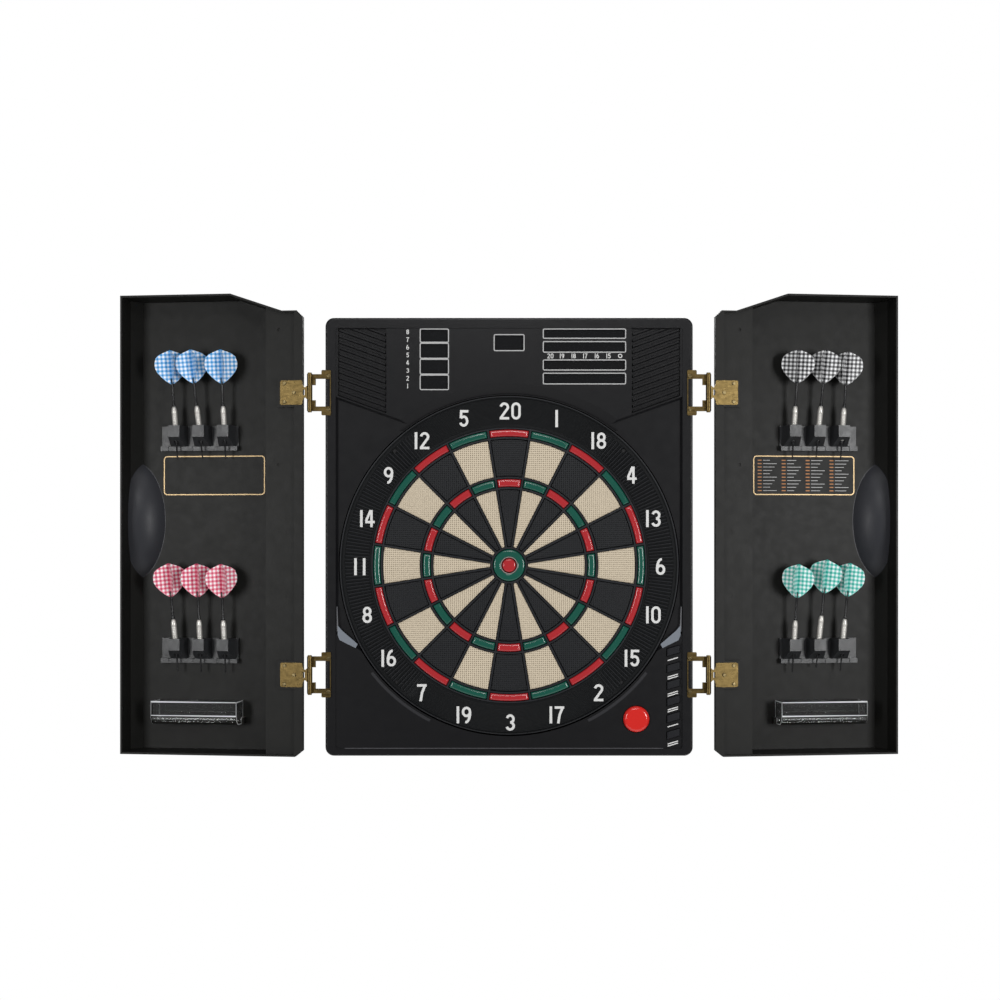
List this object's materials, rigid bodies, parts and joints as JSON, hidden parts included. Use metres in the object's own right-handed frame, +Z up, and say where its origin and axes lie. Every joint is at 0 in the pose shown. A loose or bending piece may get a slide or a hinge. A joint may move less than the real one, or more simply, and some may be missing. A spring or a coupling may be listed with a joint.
{
  "type": "electronic dartboard",
  "caption": "Wall-hung electronic dartboard in a black cabinet with two hollow doors that store soft-tip darts and spare tips.",
  "frame": {"origin": "on the flat back of the housing, where it meets the wall, on the bull's-eye axis", "axes": "+X to the player's right across both doors, +Y into the wall, +Z up"},
  "size_m": [0.9926, 0.0854, 0.5847],
  "materials": {
    "housing_plastic": "satin black moulded plastic",
    "ring_plastic": "textured black plastic",
    "web_plastic": "dark grey plastic",
    "door_plastic": "satin dark grey plastic",
    "red_segment": "glossy red plastic",
    "green_segment": "glossy green plastic",
    "black_segment": "black plastic with fine pinholes",
    "cream_segment": "cream plastic with fine pinholes",
    "button_red": "glossy red cap",
    "key_rubber": "dark grey rubber",
    "hinge_brass": "bright brass plate",
    "screw_steel": "plated steel",
    "clear_acrylic": "clear acrylic",
    "smoked_lens": "smoked acrylic",
    "pad_rubber": "black rubber",
    "contact_film": "printed film",
    "hardboard": "brown hardboard",
    "circuit_board": "green circuit board",
    "speaker_metal": "grey metal",
    "jack_plastic": "black plastic",
    "battery_case": "plain painted cell",
    "dart_metal": "bright nickel barrel with plastic flight"
  },
  "bodies": {
    "housing": {"rear_shell": "housing_plastic", "front_bezel": "housing_plastic", "catch_ring": "ring_plastic", "spider_grid": "web_plastic", "segment_pad": "pad_rubber", "contact_matrix": "contact_film", "backing_board": "hardboard", "main_board": "circuit_board", "display_board": "circuit_board", "display_lens": "smoked_lens", "speaker": "speaker_metal", "batteries": "battery_case", "power_jack": "jack_plastic", "housing_screws": "screw_steel", "hinge_frame_leaves": "hinge_brass", "hinge_pins": "hinge_brass", "frame_hinge_screws": "screw_steel", "key_mat": "key_rubber", "button_spring": "screw_steel"},
    "left_door": {"left_door_shell": "door_plastic", "left_hinge_leaves": "hinge_brass", "left_door_screws": "screw_steel", "left_dart_holders": "door_plastic"},
    "right_door": {"right_door_shell": "door_plastic", "right_hinge_leaves": "hinge_brass", "right_door_screws": "screw_steel", "right_dart_holders": "door_plastic"},
    "left_tray": {"left_tray": "clear_acrylic"},
    "right_tray": {"right_tray": "clear_acrylic"},
    "battery_door": {"battery_door": "housing_plastic"},
    "red_button": {"red_button": "button_red"},
    "key_1": {"key_1": "key_rubber"},
    "key_2": {"key_2": "key_rubber"},
    "key_3": {"key_3": "key_rubber"},
    "key_4": {"key_4": "key_rubber"},
    "key_5": {"key_5": "key_rubber"},
    "key_6": {"key_6": "key_rubber"},
    "doubles_red": {"doubles_red": "red_segment"},
    "doubles_green": {"doubles_green": "green_segment"},
    "trebles_red": {"trebles_red": "red_segment"},
    "trebles_green": {"trebles_green": "green_segment"},
    "outer_singles_black": {"outer_singles_black": "black_segment"},
    "outer_singles_cream": {"outer_singles_cream": "cream_segment"},
    "inner_singles_black": {"inner_singles_black": "black_segment"},
    "inner_singles_cream": {"inner_singles_cream": "cream_segment"},
    "outer_bull": {"outer_bull": "green_segment"},
    "inner_bull": {"inner_bull": "red_segment"},
    "dart_blue_1": {"dart_blue_1": "dart_metal"},
    "dart_blue_2": {"dart_blue_2": "dart_metal"},
    "dart_blue_3": {"dart_blue_3": "dart_metal"},
    "dart_red_1": {"dart_red_1": "dart_metal"},
    "dart_red_2": {"dart_red_2": "dart_metal"},
    "dart_red_3": {"dart_red_3": "dart_metal"},
    "dart_black_1": {"dart_black_1": "dart_metal"},
    "dart_black_2": {"dart_black_2": "dart_metal"},
    "dart_black_3": {"dart_black_3": "dart_metal"},
    "dart_teal_1": {"dart_teal_1": "dart_metal"},
    "dart_teal_2": {"dart_teal_2": "dart_metal"},
    "dart_teal_3": {"dart_teal_3": "dart_metal"}
  },
  "joints": [
    {"name": "left_door_swing", "type": "hinge", "parent": "housing", "child": "left_door", "pos_m": [-0.2506, -0.082, 0], "axis": [0, 0, 1], "range_deg": [0, 187]},
    {"name": "right_door_swing", "type": "hinge", "parent": "housing", "child": "right_door", "pos_m": [0.2506, -0.082, 0], "axis": [0, 0, -1], "range_deg": [0, 187]},
    {"name": "left_tray_tilt", "type": "hinge", "parent": "left_door", "child": "left_tray", "pos_m": [-0.40092, -0.02213, -0.2005], "axis": [0.9925, -0.1219, 0], "range_deg": [0, 35]},
    {"name": "right_tray_tilt", "type": "hinge", "parent": "right_door", "child": "right_tray", "pos_m": [0.40092, -0.02213, -0.2005], "axis": [0.9925, 0.1219, 0], "range_deg": [0, 35]},
    {"name": "red_button_press", "type": "slide", "parent": "housing", "child": "red_button", "axis": [0, 1, 0], "range_m": [0, 0.003], "stiffness_N_per_m": 500, "deforming": ["button_spring"]},
    {"name": "key_1_press", "type": "slide", "parent": "housing", "child": "key_1", "axis": [0, 1, 0], "range_m": [0, 0.0015], "stiffness_N_per_m": 400},
    {"name": "key_2_press", "type": "slide", "parent": "housing", "child": "key_2", "axis": [0, 1, 0], "range_m": [0, 0.0015], "stiffness_N_per_m": 400},
    {"name": "key_3_press", "type": "slide", "parent": "housing", "child": "key_3", "axis": [0, 1, 0], "range_m": [0, 0.0015], "stiffness_N_per_m": 400},
    {"name": "key_4_press", "type": "slide", "parent": "housing", "child": "key_4", "axis": [0, 1, 0], "range_m": [0, 0.0015], "stiffness_N_per_m": 400},
    {"name": "key_5_press", "type": "slide", "parent": "housing", "child": "key_5", "axis": [0, 1, 0], "range_m": [0, 0.0015], "stiffness_N_per_m": 400},
    {"name": "key_6_press", "type": "slide", "parent": "housing", "child": "key_6", "axis": [0, 1, 0], "range_m": [0, 0.0015], "stiffness_N_per_m": 400},
    {"name": "doubles_red_press", "type": "slide", "parent": "housing", "child": "doubles_red", "axis": [0, 1, 0], "range_m": [0, 0.0015], "stiffness_N_per_m": 1500},
    {"name": "doubles_green_press", "type": "slide", "parent": "housing", "child": "doubles_green", "axis": [0, 1, 0], "range_m": [0, 0.0015], "stiffness_N_per_m": 1500},
    {"name": "trebles_red_press", "type": "slide", "parent": "housing", "child": "trebles_red", "axis": [0, 1, 0], "range_m": [0, 0.0015], "stiffness_N_per_m": 1500},
    {"name": "trebles_green_press", "type": "slide", "parent": "housing", "child": "trebles_green", "axis": [0, 1, 0], "range_m": [0, 0.0015], "stiffness_N_per_m": 1500},
    {"name": "outer_singles_black_press", "type": "slide", "parent": "housing", "child": "outer_singles_black", "axis": [0, 1, 0], "range_m": [0, 0.0015], "stiffness_N_per_m": 1500},
    {"name": "outer_singles_cream_press", "type": "slide", "parent": "housing", "child": "outer_singles_cream", "axis": [0, 1, 0], "range_m": [0, 0.0015], "stiffness_N_per_m": 1500},
    {"name": "inner_singles_black_press", "type": "slide", "parent": "housing", "child": "inner_singles_black", "axis": [0, 1, 0], "range_m": [0, 0.0015], "stiffness_N_per_m": 1500},
    {"name": "inner_singles_cream_press", "type": "slide", "parent": "housing", "child": "inner_singles_cream", "axis": [0, 1, 0], "range_m": [0, 0.0015], "stiffness_N_per_m": 1500},
    {"name": "outer_bull_press", "type": "slide", "parent": "housing", "child": "outer_bull", "axis": [0, 1, 0], "range_m": [0, 0.0015], "stiffness_N_per_m": 1500},
    {"name": "inner_bull_press", "type": "slide", "parent": "housing", "child": "inner_bull", "axis": [0, 1, 0], "range_m": [0, 0.0015], "stiffness_N_per_m": 1500},
    {"name": "battery_door_slide", "type": "slide", "parent": "housing", "child": "battery_door", "axis": [0, 0, -1], "range_m": [0, 0.01]},
    {"name": "dart_blue_1_lift", "type": "slide", "parent": "left_door", "child": "dart_blue_1", "axis": [-0.0342, -0.0923, 0.9951], "range_m": [0, 0.045]},
    {"name": "dart_blue_2_lift", "type": "slide", "parent": "left_door", "child": "dart_blue_2", "axis": [-0.0978, -0.0842, 0.9916], "range_m": [0, 0.045]},
    {"name": "dart_blue_3_lift", "type": "slide", "parent": "left_door", "child": "dart_blue_3", "axis": [-0.0515, -0.0902, 0.9946], "range_m": [0, 0.045]},
    {"name": "dart_red_1_lift", "type": "slide", "parent": "left_door", "child": "dart_red_1", "axis": [-0.029, -0.093, 0.9952], "range_m": [0, 0.045]},
    {"name": "dart_red_2_lift", "type": "slide", "parent": "left_door", "child": "dart_red_2", "axis": [-0.0255, -0.0934, 0.9953], "range_m": [0, 0.045]},
    {"name": "dart_red_3_lift", "type": "slide", "parent": "left_door", "child": "dart_red_3", "axis": [-0.0721, -0.0875, 0.9935], "range_m": [0, 0.045]},
    {"name": "dart_black_1_lift", "type": "slide", "parent": "right_door", "child": "dart_black_1", "axis": [0.0446, -0.091, 0.9948], "range_m": [0, 0.045]},
    {"name": "dart_black_2_lift", "type": "slide", "parent": "right_door", "child": "dart_black_2", "axis": [0.079, -0.0866, 0.9931], "range_m": [0, 0.045]},
    {"name": "dart_black_3_lift", "type": "slide", "parent": "right_door", "child": "dart_black_3", "axis": [0.0497, -0.0904, 0.9947], "range_m": [0, 0.045]},
    {"name": "dart_teal_1_lift", "type": "slide", "parent": "right_door", "child": "dart_teal_1", "axis": [0.0446, -0.091, 0.9948], "range_m": [0, 0.045]},
    {"name": "dart_teal_2_lift", "type": "slide", "parent": "right_door", "child": "dart_teal_2", "axis": [0.0859, -0.0858, 0.9926], "range_m": [0, 0.045]},
    {"name": "dart_teal_3_lift", "type": "slide", "parent": "right_door", "child": "dart_teal_3", "axis": [0.0721, -0.0875, 0.9935], "range_m": [0, 0.045]}
  ]
}
